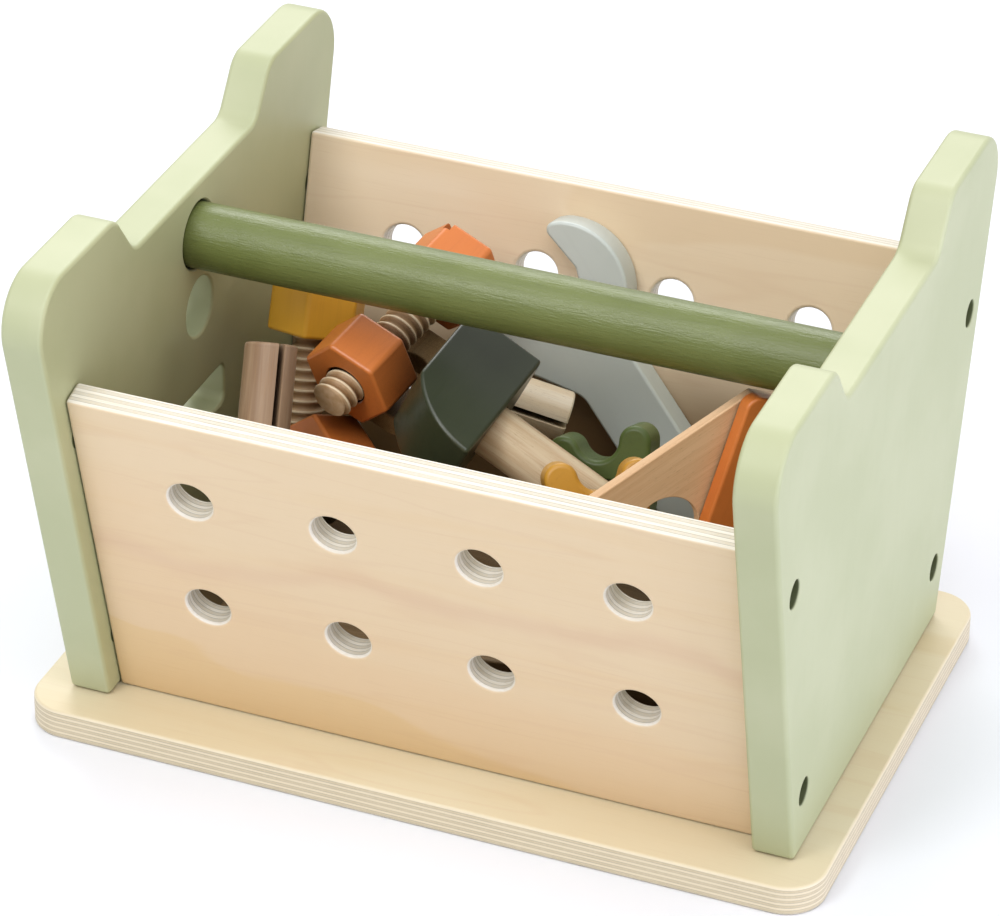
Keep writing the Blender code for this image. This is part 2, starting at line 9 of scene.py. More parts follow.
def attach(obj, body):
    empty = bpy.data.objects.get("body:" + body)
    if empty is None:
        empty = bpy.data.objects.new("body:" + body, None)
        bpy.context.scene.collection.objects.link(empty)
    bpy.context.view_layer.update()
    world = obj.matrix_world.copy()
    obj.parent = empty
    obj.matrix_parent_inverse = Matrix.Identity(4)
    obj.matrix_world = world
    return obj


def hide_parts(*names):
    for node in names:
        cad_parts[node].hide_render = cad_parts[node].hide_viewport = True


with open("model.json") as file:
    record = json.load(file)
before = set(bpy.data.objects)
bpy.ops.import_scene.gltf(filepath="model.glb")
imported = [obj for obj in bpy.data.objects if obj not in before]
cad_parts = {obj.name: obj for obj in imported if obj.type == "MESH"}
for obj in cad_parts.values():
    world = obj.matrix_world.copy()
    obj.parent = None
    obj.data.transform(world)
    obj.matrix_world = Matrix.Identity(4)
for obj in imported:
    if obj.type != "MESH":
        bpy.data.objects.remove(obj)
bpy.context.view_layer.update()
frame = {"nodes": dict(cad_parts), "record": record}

MM = 0.001
GAP = 0.3

# sizes in millimetres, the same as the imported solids
BASE_L, BASE_W, BASE_T, BASE_CORNER_R = 300.0, 199.0, 11.5, 15.0
END_X_IN, END_X_OUT = 121.9, 137.5
END_HALF_BOTTOM, SLOPE_END, HORN_Z, SADDLE_Z = 83.4, 0.248, 198.3, 179.2
PANEL_Y_IN, PANEL_LEAN, PANEL_T, PANEL_TOP_Z = 64.3, 0.251, 10.2, 150.0
HOLE_X, HOLE_Z, HOLE_R = (-80.1, -26.7, 26.7, 80.1), (113.9, 63.0), 8.25
ROD_Z, ROD_R, ROD_SEAT = 158.7, 12.2, 9.0
PORT_Z, PORT_R = 129.2, 11.25
SLOT_Z, SLOT_L, SLOT_H, SLOT_R = 87.4, 38.4, 16.0, 3.5
SCREW_AT = ((99.7, 131.4), (75.8, 36.4))
COUNTERBORE_R, COUNTERBORE_D = 5.0, 7.0
HEX_AF, HEX_T = 32.0, 20.0
THREAD_R, THREAD_DEPTH, THREAD_PITCH, NUT_BORE_R = 7.7, 1.3, 4.0, 8.05
PEG_R, PEG_KERF = 9.4, 2.2
PLANK_W, PLANK_T, PLANK_PITCH, PLANK_HOLE_R = 33.0, 10.0, 53.4, 8.25
HAMMER_L, HAMMER_H, HAMMER_T, HAMMER_ARC_R = 55.6, 31.2, 30.6, 36.0
HANDLE_R, HANDLE_L, HANDLE_IN = 9.75, 95.0, 20.0
WRENCH_T = 12.3
SQUARE_LEG, SQUARE_T, SQUARE_TIP = 74.0, 4.0, (-4.1, -1.5)
SQUARE_BAR_W, SQUARE_BAR_T = 20.0, 6.4
SQUARE_HOLE_R, SQUARE_HOLE_AT = 12.5, (10.6, -56.4)
WING_T, WING_LOBE_X, WING_LOBE_Y, WING_LOBE_R = 15.0, 13.6, 20.0, 6.0
WING_BODY_R, WING_VALLEY_Y, WING_BORE_R = 15.0, 15.2, 8.05


# ------------------------------------------------------------ shape helpers
def rounded(corners, step=6.0):
    """Outline through corners (x, y, r), each turned into an arc of radius r."""
    out, count = [], len(corners)
    for i, (bx, by, r) in enumerate(corners):
        b = Vector((bx, by))
        if r <= 0:
            out.append((bx, by))
            continue
        a, c = Vector(corners[i - 1][:2]), Vector(corners[(i + 1) % count][:2])
        u, v = (a - b).normalized(), (c - b).normalized()
        inner = acos(max(-1.0, min(1.0, u.dot(v))))
        reach = r / tan(inner / 2)
        centre = b + (u + v).normalized() * (r / sin(inner / 2))
        start, end = b + u * reach - centre, b + v * reach - centre
        turn = pi - inner
        steps = max(1, ceil(turn / radians(step)))
        way = 1.0 if start.cross(end) > 0 else -1.0
        for k in range(steps + 1):
            angle = way * turn * k / steps
            out.append((centre.x + start.x * cos(angle) - start.y * sin(angle),
                        centre.y + start.x * sin(angle) + start.y * cos(angle)))
    return out


def circle(cx, cy, r, first, last, steps):
    return [(cx + r * cos(radians(first + (last - first) * k / steps)),
             cy + r * sin(radians(first + (last - first) * k / steps)))
            for k in range(steps + 1)]


def hexagon(af, turn=0.0):
    r = af / sqrt(3.0)
    return [(r * cos(radians(60 * k + turn)), r * sin(radians(60 * k + turn)))
            for k in range(6)]


def frame_at(origin, ex, ey):
    x = Vector(ex).normalized()
    z = x.cross(Vector(ey)).normalized()
    y = z.cross(x)
    m = Matrix((x, y, z)).transposed().to_4x4()
    m.translation = Vector(origin) * MM
    return m


def make(name, bm, matrix):
    bmesh.ops.recalc_face_normals(bm, faces=bm.faces[:])
    mesh = bpy.data.meshes.new(name)
    bm.to_mesh(mesh)
    bm.free()
    obj = bpy.data.objects.new(name, mesh)
    bpy.context.scene.collection.objects.link(obj)
    obj.matrix_world = matrix
    return obj


def loft(name, rings, matrix):
    """Closed body through rings of (x, y, z) points in millimetres."""
    bm = bmesh.new()
    rows = [[bm.verts.new((x * MM, y * MM, z * MM)) for x, y, z in ring] for ring in rings]
    count = len(rows[0])
    for lower, upper in zip(rows, rows[1:]):
        for k in range(count):
            n = (k + 1) % count
            bm.faces.new((lower[k], lower[n], upper[n], upper[k]))
    bm.faces.new(rows[0][::-1])
    bm.faces.new(rows[-1])
    return make(name, bm, matrix)


def slab(name, outline, low, high, matrix):
    return loft(name, [[(x, y, low) for x, y in outline],
                       [(x, y, high) for x, y in outline]], matrix)


def turned(name, profile, sides, matrix):
    ring = lambda r, z: [(r * cos(2 * pi * k / sides), r * sin(2 * pi * k / sides), z)
                         for k in range(sides)]
    return loft(name, [ring(r, z) for r, z in profile], matrix)


def flared(name, r, low, high, lip, matrix, sides=64, low_lip=True, high_lip=True):
    """Cutter for a bore from z=low to z=high whose mouths are eased by lip."""
    arc = [(r + lip * (1 - cos(radians(a))), lip * (1 - sin(radians(a))))
           for a in (90, 66, 44, 22, 0)]
    # arc runs from (r, 0) ... to (r + lip, lip): mirrored so the flare opens outward
    down = [(r + lip - lip * sin(radians(a)), lip - lip * cos(radians(a)))
            for a in (0, 22, 44, 66, 90)]
    profile = []
    if low_lip:
        profile += [(r + lip + 0.6, low - 6.0), (r + lip + 0.6, low - 0.02)]
        profile += [(rr, low + zz) for rr, zz in down]
    else:
        profile += [(r, low)]
    if high_lip:
        profile += [(rr, high - zz) for rr, zz in reversed(down)]
        profile += [(r + lip + 0.6, high + 0.02), (r + lip + 0.6, high + 6.0)]
    else:
        profile += [(r, high)]
    return turned(name, profile, sides, matrix)


def soften(obj, width, segments=4, angle=38.0):
    mod = obj.modifiers.new("soft_edges", "BEVEL")
    mod.width = width * MM
    mod.segments = segments
    mod.limit_method = "ANGLE"
    mod.angle_limit = radians(angle)
    mod.use_clamp_overlap = True
    mod.profile = 0.5
    return obj


def settle(obj, cutters=(), sharp=34.0, weighted=True):
    """Cuts the openings, fixes the mesh and sets smooth shading with crisp edges."""
    for cutter in cutters:
        mod = obj.modifiers.new("opening", "BOOLEAN")
        mod.operation = "DIFFERENCE"
        mod.solver = "EXACT"
        mod.object = cutter
    bpy.context.view_layer.update()
    graph = bpy.context.evaluated_depsgraph_get()
    mesh = bpy.data.meshes.new_from_object(obj.evaluated_get(graph), depsgraph=graph)
    mesh.name = obj.name
    old = obj.data
    obj.modifiers.clear()
    obj.data = mesh
    bpy.data.meshes.remove(old)
    for cutter in cutters:
        bpy.data.objects.remove(cutter, do_unlink=True)
    mesh.shade_smooth()
    mesh.set_sharp_from_angle(angle=radians(sharp))
    if weighted:
        mod = obj.modifiers.new("face_normals", "WEIGHTED_NORMAL")
        mod.keep_sharp = True
        mod.weight = 60
    return obj


BODY = {n: b for b, ns in frame["record"]["behaviour"]["bodies"].items() for n in ns}


def show(obj, node, look):
    """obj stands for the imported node, rides on its body and wears the look."""
    obj.data.materials.clear()
    obj.data.materials.append(look)
    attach(obj, BODY[node])
    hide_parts(node)
    return obj


# ------------------------------------------------------------ materials
def rgb(code):
    code = code.lstrip("#")
    c = [int(code[i:i + 2], 16) / 255 for i in (0, 2, 4)]
    return tuple(((v + 0.055) / 1.055) ** 2.4 if v > 0.04045 else v / 12.92 for v in c) + (1.0,)


class Graph:
    """Short names for building one material's nodes."""

    def __init__(self, name):
        self.mat = bpy.data.materials.new(name)
        self.mat.use_nodes = True
        self.nodes, self.links = self.mat.node_tree.nodes, self.mat.node_tree.links
        self.shader = self.nodes["Principled BSDF"]
        self.place = self.nodes.new("ShaderNodeTexCoord").outputs["Object"]

    def give(self, socket, value):
        if isinstance(value, bpy.types.NodeSocket):
            self.links.new(value, socket)
        else:
            socket.default_value = value

    def math(self, op, a, b=0.0, c=0.0, clamp=False):
        n = self.nodes.new("ShaderNodeMath")
        n.operation, n.use_clamp = op, clamp
        for socket, value in zip(n.inputs, (a, b, c)):
            self.give(socket, value)
        return n.outputs[0]

    def dot(self, vector, axis):
        n = self.nodes.new("ShaderNodeVectorMath")
        n.operation = "DOT_PRODUCT"
        self.give(n.inputs[0], vector)
        n.inputs[1].default_value = axis
        return n.outputs["Value"]

    def distance(self, centre, axes):
        """Metres from a line along the third axis through centre (millimetres)."""
        parts = []
        for value, axis in zip(centre, axes):
            unit = [0.0, 0.0, 0.0]
            unit[axis] = 1.0
            d = self.math("SUBTRACT", self.dot(self.place, unit), value * MM)
            parts.append(self.math("MULTIPLY", d, d))
        return self.math("SQRT", self.math("ADD", *parts))

    def stretch(self, scale, shift=(0.0, 0.0, 0.0), turn=(0.0, 0.0, 0.0), vector=None):
        """Object coordinates turned, then scaled per millimetre."""
        vector = vector if vector is not None else self.place
        if any(turn):
            n = self.nodes.new("ShaderNodeMapping")
            self.give(n.inputs["Vector"], vector)
            n.inputs["Rotation"].default_value = tuple(radians(a) for a in turn)
            vector = n.outputs[0]
        n = self.nodes.new("ShaderNodeMapping")
        self.give(n.inputs["Vector"], vector)
        n.inputs["Location"].default_value = shift
        n.inputs["Scale"].default_value = tuple(s / MM for s in scale)
        return n.outputs[0]

    def noise(self, vector, detail=3.0, rough=0.55, distort=0.0):
        n = self.nodes.new("ShaderNodeTexNoise")
        self.give(n.inputs["Vector"], vector)
        n.inputs["Scale"].default_value = 1.0
        n.inputs["Detail"].default_value = detail
        n.inputs["Roughness"].default_value = rough
        n.inputs["Distortion"].default_value = distort
        return n.outputs[0]

    def ramp(self, value, low, high, to_low=0.0, to_high=1.0):
        n = self.nodes.new("ShaderNodeMapRange")
        n.interpolation_type = "SMOOTHSTEP"
        for socket, v in zip(n.inputs, (value, low, high, to_low, to_high)):
            self.give(socket, v)
        return n.outputs[0]

    def mix(self, amount, a, b, blend="MIX"):
        n = self.nodes.new("ShaderNodeMix")
        n.data_type, n.blend_type = "RGBA", blend
        self.give(n.inputs[0], amount)
        self.give(n.inputs[6], a)
        self.give(n.inputs[7], b)
        return n.outputs[2]

    def bump(self, height, strength, distance, after=None):
        n = self.nodes.new("ShaderNodeBump")
        n.inputs["Strength"].default_value = strength
        n.inputs["Distance"].default_value = distance * MM
        self.give(n.inputs["Height"], height)
        if after is not None:
            self.give(n.inputs["Normal"], after)
        return n.outputs[0]

    def nook_shade(self, colour, warm=1.0, dark=1.0, reach=45.0, high=0.40,
              tint=(0.88, 0.80, 0.60, 1.0), crevice_shade=(0.07, 0.05, 0.03, 1.0)):
        """Painted shade: warmer where neighbours stand close, and near black deep between them."""
        n = self.nodes.new("ShaderNodeAmbientOcclusion")
        n.samples = 4
        n.inputs["Distance"].default_value = reach * MM
        near = self.math("SUBTRACT", 1.0, self.ramp(n.outputs["AO"], 0.35, 0.95))
        deep = self.math("SUBTRACT", 1.0, self.ramp(n.outputs["AO"], 0.04, high))
        colour = self.mix(self.math("MULTIPLY", near, warm), colour, tint, "MULTIPLY")
        return self.mix(self.math("MULTIPLY", deep, dark), colour, crevice_shade, "MULTIPLY")

    def end(self, colour, rough, normal=None, nook_shade=None, **fixed):
        # painted shade from ambient occlusion, when asked for
        if nook_shade:
            colour = self.nook_shade(colour, *nook_shade)
        self.give(self.shader.inputs["Base Color"], colour)
        self.give(self.shader.inputs["Roughness"], rough)
        if normal is not None:
            self.give(self.shader.inputs["Normal"], normal)
        for name, value in fixed.items():
            self.shader.inputs[name.replace("_", " ")].default_value = value
        return self.mat


def grain_scales(along, coarse, fine):
    """Per-millimetre frequencies with the grain running along axis 0, 1 or 2."""
    s = [fine, fine, fine]
    s[along] = coarse
    return tuple(s)


def plywood(name, normal, low, thick, plies, along, seed, tones, light="#E7E2D8", dark="#D3CCBE",
            rise=(0.0, 0.0, 0.0), fall=0.0, swing=1.0, band=None, nook_shade=None, low_shade=None):
    """Birch plywood: plies stacked along normal (object axes), face grain along an axis.

    tones are three veneer colours; rise (per millimetre), fall and swing place the figure's
    contours, and band = (axis, middle, half width) is one broad soft vein.
    """
    g = Graph(name)
    wobble = g.noise(g.stretch(grain_scales(along, 0.012, 0.02), shift=(seed, 0, 0)), 2.0)
    depth = g.math("DIVIDE", g.math("SUBTRACT", g.dot(g.place, normal), low * MM), thick * MM)
    depth = g.math("ADD", depth, g.math("MULTIPLY", g.math("SUBTRACT", wobble, 0.5), 0.02))
    held = g.math("MINIMUM", g.math("MAXIMUM", depth, 0.002), 0.998)
    layer = g.math("MULTIPLY", held, float(plies))
    part = g.math("FRACT", layer)
    odd = g.math("FLOORED_MODULO", g.math("FLOOR", layer), 2.0)
    # veneer of the two faces: soft contours, faint veins, fine fibre
    cloud = g.noise(g.stretch(grain_scales(along, 0.0042, 0.013), shift=(seed, 3.1, 0)), 2.5, 0.5, 0.8)
    streak = g.noise(g.stretch(grain_scales(along, 0.006, 0.11), shift=(0, seed, 1.7)), 4.0, 0.55, 0.4)
    fine = g.noise(g.stretch(grain_scales(along, 0.045, 1.9), shift=(2.3, 0, seed)), 3.0, 0.65)
    vein = g.noise(g.stretch(grain_scales(along, 0.0035, 0.045), shift=(1.9, seed, 0)), 2.0, 0.5, 0.5)
    figure = g.math("ADD", g.math("MULTIPLY", cloud, swing), 0.5 * (1.0 - swing))
    figure = g.math("ADD", g.math("ADD", figure, g.dot(g.place, tuple(v / MM for v in rise))), fall)
    face = g.mix(g.ramp(figure, 0.42, 0.62), rgb(tones[1]), rgb(tones[0]))
    face = g.mix(g.math("MULTIPLY", g.ramp(figure, 0.345, 0.365), 0.85), rgb(tones[2]), face)
    face = g.mix(g.math("MULTIPLY", g.ramp(streak, 0.45, 0.72), 0.26), face, rgb(tones[2]))
    ring = g.math("SUBTRACT", 1.0, g.ramp(g.math("ABSOLUTE", g.math("SUBTRACT", vein, 0.5)), 0.0, 0.022))
    face = g.mix(g.math("MULTIPLY", ring, 0.10), face, rgb("#C79F80"))
    if band:
        unit = [0.0, 0.0, 0.0]
        unit[band[0]] = 1.0
        bend = g.noise(g.stretch(grain_scales(along, 0.011, 0.004), shift=(seed, 6.1, 0)), 3.0, 0.5)
        off = g.math("SUBTRACT", g.dot(g.place, unit), band[1] * MM)
        off = g.math("ADD", off, g.math("MULTIPLY", g.math("SUBTRACT", bend, 0.5), 60 * MM))
        off = g.math("SUBTRACT", 1.0, g.ramp(g.math("ABSOLUTE", off), 0.0, band[2] * MM))
        face = g.mix(g.math("MULTIPLY", off, 0.27), face, rgb("#CBA58A"))
    face = g.mix(g.math("MULTIPLY", g.ramp(fine, 0.54, 0.76), 0.10), face, rgb("#B48C60"))
    # edges: alternate long and cross grain plies with thin glue lines
    rays = g.noise(g.stretch((0.9, 0.9, 0.9), shift=(seed, 5, 2)), 3.0, 0.7)
    long_ply = g.mix(g.math("MULTIPLY", g.ramp(fine, 0.35, 0.75), 0.6), rgb(light), rgb("#DCCFB6"))
    cross_ply = g.mix(g.math("MULTIPLY", g.ramp(rays, 0.35, 0.7), 0.6), rgb(dark), rgb("#D3C5A9"))
    edge = g.mix(odd, long_ply, cross_ply)
    line = g.math("MINIMUM", part, g.math("SUBTRACT", 1.0, part))
    uneven = g.noise(g.stretch(grain_scales(along, 0.05, 0.30), shift=(seed, 0, 7.7)), 3.0, 0.6)
    glue = g.math("SUBTRACT", 1.0, g.ramp(line, 0.02, 0.13))
    glue = g.math("MULTIPLY", glue, g.ramp(uneven, 0.30, 0.66, 0.35, 1.0))
    inside = g.math("MULTIPLY", g.ramp(depth, 0.03, 0.06), g.math("SUBTRACT", 1.0, g.ramp(depth, 0.94, 0.97)))
    glue = g.math("MULTIPLY", g.math("MULTIPLY", glue, inside), 0.80)
    edge = g.mix(glue, edge, rgb("#8E8677"))
    skin = g.math("SUBTRACT", 1.0, g.math("MULTIPLY", g.ramp(depth, 0.012, 0.05),
                                          g.math("SUBTRACT", 1.0, g.ramp(depth, 0.95, 0.988))))
    colour = g.mix(skin, edge, face)
    if low_shade:                                            # painted shade: dark brown low down inside the box
        inside = g.math("SUBTRACT", 1.0, g.ramp(depth, 0.04, 0.12)) if low_shade[0] == "wall" else \
            g.ramp(depth, 0.95, 0.99)
        for axis, clear, full in low_shade[1:]:
            unit = [0.0, 0.0, 0.0]
            unit[axis] = 1.0
            at = g.dot(g.place, unit)
            if low_shade[0] != "wall":
                at = g.math("ABSOLUTE", at)
            low, high = min(clear, full) * MM, max(clear, full) * MM
            part_in = g.ramp(at, low, high)
            if full < clear:
                part_in = g.math("SUBTRACT", 1.0, part_in)
            inside = g.math("MULTIPLY", inside, part_in)
        colour = g.mix(inside, colour, (0.24, 0.18, 0.11, 1.0), "MULTIPLY")
    height = g.math("ADD", g.math("MULTIPLY", fine, 0.6),
                    g.math("MULTIPLY", g.math("MULTIPLY", g.math("SUBTRACT", 1.0, skin), odd), 0.8))
    rough = g.ramp(g.math("ADD", g.math("MULTIPLY", fine, 0.6), g.math("MULTIPLY", cloud, 0.4)),
                   0.25, 0.75, 0.44, 0.58)
    return g.end(colour, rough, g.bump(height, 0.22, 0.08), nook_shade, Specular_IOR_Level=0.40)


# by default this lays a painted shade where neighbours stand close
def bare_wood(name, along, seed, a="#D9BE97", b="#C09C72", fleck="#A27E58", rough=(0.46, 0.60),
              turn=(0.0, 0.0, 0.0), groove=None, coat=0.0, nook_shade=(0.3, 1.0)):
    """Sanded beech: long soft streaks and short dark flecks along one axis.

    groove is (low radius, high radius, painted groove shade colour, painted crest highlight colour) of a thread
    about local Z.
    """
    g = Graph(name)
    streak = g.noise(g.stretch(grain_scales(along, 0.010, 0.22), (seed, 1.3, 0), turn), 4.0, 0.6, 0.35)
    fine = g.noise(g.stretch(grain_scales(along, 0.06, 2.2), (0, seed, 4.1), turn), 3.0, 0.6)
    dash = g.noise(g.stretch(grain_scales(along, 0.40, 3.4), (seed, 0, 2.2), turn), 2.0, 0.5)
    patch = g.noise(g.stretch((0.02, 0.02, 0.02), shift=(0, 0, seed)), 2.0)
    colour = g.mix(g.ramp(streak, 0.34, 0.68), rgb(a), rgb(b))
    colour = g.mix(g.math("MULTIPLY", g.ramp(fine, 0.50, 0.75), 0.30), colour, rgb(fleck))
    colour = g.mix(g.math("MULTIPLY", g.ramp(dash, 0.64, 0.74), 0.38), colour, rgb("#8C6842"))
    colour = g.mix(g.math("MULTIPLY", g.ramp(patch, 0.4, 0.7), 0.12), colour, rgb("#F0DDBE"))
    # painted shade in the thread's grooves and painted highlight on its crests, by radius, kept off the very end
    if groove:
        r_low, r_high, groove_shade, crest_highlight = groove
        radius = g.distance((0.0, 0.0), (0, 1))
        wear_and_thread_shade = g.mix(g.ramp(radius, (r_high - 0.35) * MM, (r_high - 0.08) * MM), colour, rgb(crest_highlight))
        wear_and_thread_shade = g.mix(g.ramp(radius, r_low * MM, (r_high - 0.45) * MM), rgb(groove_shade), wear_and_thread_shade)
        colour = g.mix(g.ramp(g.dot(g.place, (0.0, 0.0, 1.0)), 0.1 * MM, 0.5 * MM), colour, wear_and_thread_shade)
    height = g.math("ADD", g.math("MULTIPLY", fine, 0.7), g.math("MULTIPLY", dash, 0.3))
    shine = g.ramp(fine, 0.3, 0.75, rough[0], rough[1])
    g.shader.inputs["Coat Weight"].default_value = coat
    g.shader.inputs["Coat Roughness"].default_value = 0.28
    return g.end(colour, shine, g.bump(height, 0.30, 0.08), nook_shade, Specular_IOR_Level=0.42)


# by default this lays a painted shade where neighbours stand close
def paint(name, body, lit, wear_and_thread_shade, along, seed, rough=(0.36, 0.50), grain=0.10, coat=0.0,
          pores=0.0, streaks=0.22, fibre=(0.10, 2.1), shadowed=(), relief=0.12,
          nook_shade=(0.3, 1.0), inner=None):
    """Satin paint on wood: the grain telegraphs through and the coat is slightly uneven."""
    g = Graph(name)
    cloud = g.noise(g.stretch((0.018, 0.018, 0.018), shift=(seed, 0, 2.4)), 3.0, 0.55)
    streak = g.noise(g.stretch(grain_scales(along, 0.020, 0.42), shift=(1.1, seed, 0)), 4.0, 0.62, 0.3)
    fine = g.noise(g.stretch(grain_scales(along, *fibre), shift=(0, 2.9, seed)), 3.0, 0.6)
    speck = g.noise(g.stretch((1.6, 1.6, 1.6), shift=(seed, 4.4, 0)), 2.0, 0.6)
    colour = g.mix(g.ramp(cloud, 0.34, 0.68), rgb(body), rgb(lit))
    colour = g.mix(g.math("MULTIPLY", g.ramp(streak, 0.48, 0.76), streaks), colour, rgb(wear_and_thread_shade))
    if pores > 0:
        colour = g.mix(g.math("MULTIPLY", g.ramp(fine, 0.58, 0.74), pores), colour, rgb(wear_and_thread_shade))
    for centre, radius, tone in shadowed:              # painted shade: darker colour in the sunk holes
        near = g.ramp(g.distance(centre, (0, 1)), (radius - 0.3) * MM, (radius + 0.1) * MM)
        colour = g.mix(near, rgb(tone), colour)
    if inner:                                          # painted shade: the side that faces the box is darker and warmer
        face, tint = inner
        off = g.math("ABSOLUTE", g.dot(g.place, (0.0, 0.0, 1.0)))
        off = g.math("SUBTRACT", 1.0, g.ramp(off, (face + 0.3) * MM, (face + 1.2) * MM))
        colour = g.mix(off, colour, tint, "MULTIPLY")
    height = g.math("ADD", g.math("MULTIPLY", fine, 0.45),
                    g.math("ADD", g.math("MULTIPLY", streak, 0.40), g.math("MULTIPLY", speck, 0.15)))
    shine = g.ramp(g.math("ADD", g.math("MULTIPLY", streak, 0.5), g.math("MULTIPLY", speck, 0.5)),
                   0.3, 0.7, rough[0], rough[1])
    g.shader.inputs["Coat Weight"].default_value = coat
    g.shader.inputs["Coat Roughness"].default_value = 0.30
    return g.end(colour, shine, g.bump(height, min(1.0, grain * 3.0), relief), nook_shade,
                 Specular_IOR_Level=0.45)


def steel(name):
    g = Graph(name)
    turn_marks = g.noise(g.stretch((1.2, 1.2, 6.0)), 3.0, 0.6)
    colour = g.mix(g.ramp(turn_marks, 0.3, 0.7), rgb("#4C4B46"), rgb("#6E6C66"))
    return g.end(colour, g.ramp(turn_marks, 0.3, 0.7, 0.30, 0.48),
                 g.bump(turn_marks, 0.3, 0.05), Metallic=1.0)


# ------------------------------------------------------------ the box
YZ = frame_at((0, 0, 0), (0, 1, 0), (0, 0, 1))      # local x = world y, y = z, z = x
lean_len = sqrt(1 + PANEL_LEAN ** 2)
run = PANEL_T * lean_len
inner_y = lambda z: PANEL_Y_IN + PANEL_LEAN * (z - BASE_T)

x, y, r = BASE_L / 2, BASE_W / 2, BASE_CORNER_R
base = slab("base_plate_looks", rounded([(x, -y, r), (x, y, r), (-x, y, r), (-x, -y, r)], 5),
            0.0, BASE_T, Matrix.Identity(4))
# painted shade: the base top inside the box is darkened to brown
show(settle(soften(base, 1.2, 4)), "base_plate",
     plywood("base_plywood", (0, 0, 1), 0.0, BASE_T, 11, 0, 2.0,
             tones=("#DBD1B5", "#D8CBAC", "#D3C29E"), light="#DED2B8", dark="#C9BB9D",
             low_shade=("floor", (0, 124.5, 122.5), (1, 67.5, 65.0))))


def end_outline():
    top_out = END_HALF_BOTTOM + SLOPE_END * (HORN_Z - BASE_T)
    half = [(END_HALF_BOTTOM, BASE_T + GAP, 0.0), (top_out, HORN_Z, 19.0),
            (64.9, HORN_Z, 11.0), (51.0, SADDLE_Z, 8.5)]
    return rounded(half + [(-a, b, c) for a, b, c in reversed(half)], 4)


def end_panel(node, side, look):
    low, high = (END_X_IN, END_X_OUT) if side > 0 else (-END_X_OUT, -END_X_IN)
    panel = soften(slab(node + "_looks", end_outline(), low, high, YZ), 1.8, 5)
    out = frame_at((side * END_X_IN, 0, ROD_Z), (0, side, 0), (0, 0, 1))
    cutters = [turned("seat", [(ROD_R + 1.4, -3.0), (ROD_R + 1.4, -0.02), (ROD_R + 1.05, 0.25),
                               (ROD_R + 0.75, 0.7), (ROD_R + 0.65, 1.2), (ROD_R + 0.65, ROD_SEAT)],
                      72, out)]
    deep = END_X_OUT - END_X_IN
    for sy in (-1, 1):
        for yy, zz in SCREW_AT:
            m = frame_at((side * END_X_IN, sy * yy, zz), (0, side, 0), (0, 0, 1))
            cutters.append(turned("screw_hole", [
                (2.4, -1.0), (2.4, deep - COUNTERBORE_D), (COUNTERBORE_R, deep - COUNTERBORE_D),
                (COUNTERBORE_R, deep - 0.8), (COUNTERBORE_R + 0.25, deep - 0.3),
                (COUNTERBORE_R + 0.8, deep + 0.02), (COUNTERBORE_R + 0.8, deep + 2.0)], 36, m))
    if side < 0:
        m = frame_at((-END_X_OUT, 0, PORT_Z), (0, 1, 0), (0, 0, 1))
        cutters.append(flared("port", PORT_R, 0.0, deep, 1.2, m, 72))
        m = frame_at((-END_X_OUT, 0, SLOT_Z), (0, 1, 0), (0, 0, 1))
        shape = lambda grow: rounded([(SLOT_L / 2 + grow, -SLOT_H / 2 - grow, SLOT_R + grow),
                                      (SLOT_L / 2 + grow, SLOT_H / 2 + grow, SLOT_R + grow),
                                      (-SLOT_L / 2 - grow, SLOT_H / 2 + grow, SLOT_R + grow),
                                      (-SLOT_L / 2 - grow, -SLOT_H / 2 - grow, SLOT_R + grow)], 9)
        levels = [(1.8, -5.0), (1.8, -0.02), (1.2, 0.0), (0.7, 0.1), (0.25, 0.5), (0.0, 1.2),
                  (0.0, deep - 1.2), (0.25, deep - 0.5), (0.7, deep - 0.1), (1.2, deep),
                  (1.8, deep + 0.02), (1.8, deep + 5.0)]
        cutters.append(loft("slot", [[(a, b, z) for a, b in shape(g)] for g, z in levels], m))
    return show(settle(panel, cutters), node, look)


# painted shade: the inner face is darker and warmer, the sunk screw holes darker
for node, side, seed in (("end_panel_left", -1, 3.0), ("end_panel_right", 1, 8.0)):
    end_panel(node, side, paint(node + "_sage", "#AEB38E", "#B5B996", "#A3A982", 1, seed,
                                rough=(0.46, 0.50), grain=0.012, streaks=0.0, nook_shade=None,
                              inner=(END_X_IN, (0.91, 0.87, 0.77, 1.0)),
                                shadowed=[((sy * yy, zz), COUNTERBORE_R + 0.3, "#59603F")
                                          for sy in (-1, 1) for yy, zz in SCREW_AT]))


def long_panel(node, side, look):
    low_z = BASE_T + GAP
    out_top = (inner_y(PANEL_TOP_Z) + run, PANEL_TOP_Z)
    in_top = (out_top[0] - PANEL_T / lean_len, PANEL_TOP_Z + PANEL_T * PANEL_LEAN / lean_len)
    section = [(inner_y(low_z), low_z), (inner_y(low_z) + run, low_z), out_top, in_top]
    if side < 0:
        section = [(-a, b) for a, b in section]
    reach = END_X_IN - GAP
    panel = soften(slab(node + "_looks", section, -reach, reach, YZ), 1.3, 4, 60)
    normal = Vector((0, side, -PANEL_LEAN)).normalized()
    cutters = []
    for z in HOLE_Z:
        yo = side * (inner_y(z) + run)
        for x in HOLE_X:
            m = frame_at((x, yo, z), (1, 0, 0), normal.cross(Vector((1, 0, 0))))
            cutters.append(flared("hole", HOLE_R, -PANEL_T, 0.0, 1.5, m, 64))
    return show(settle(panel, cutters), node, look)


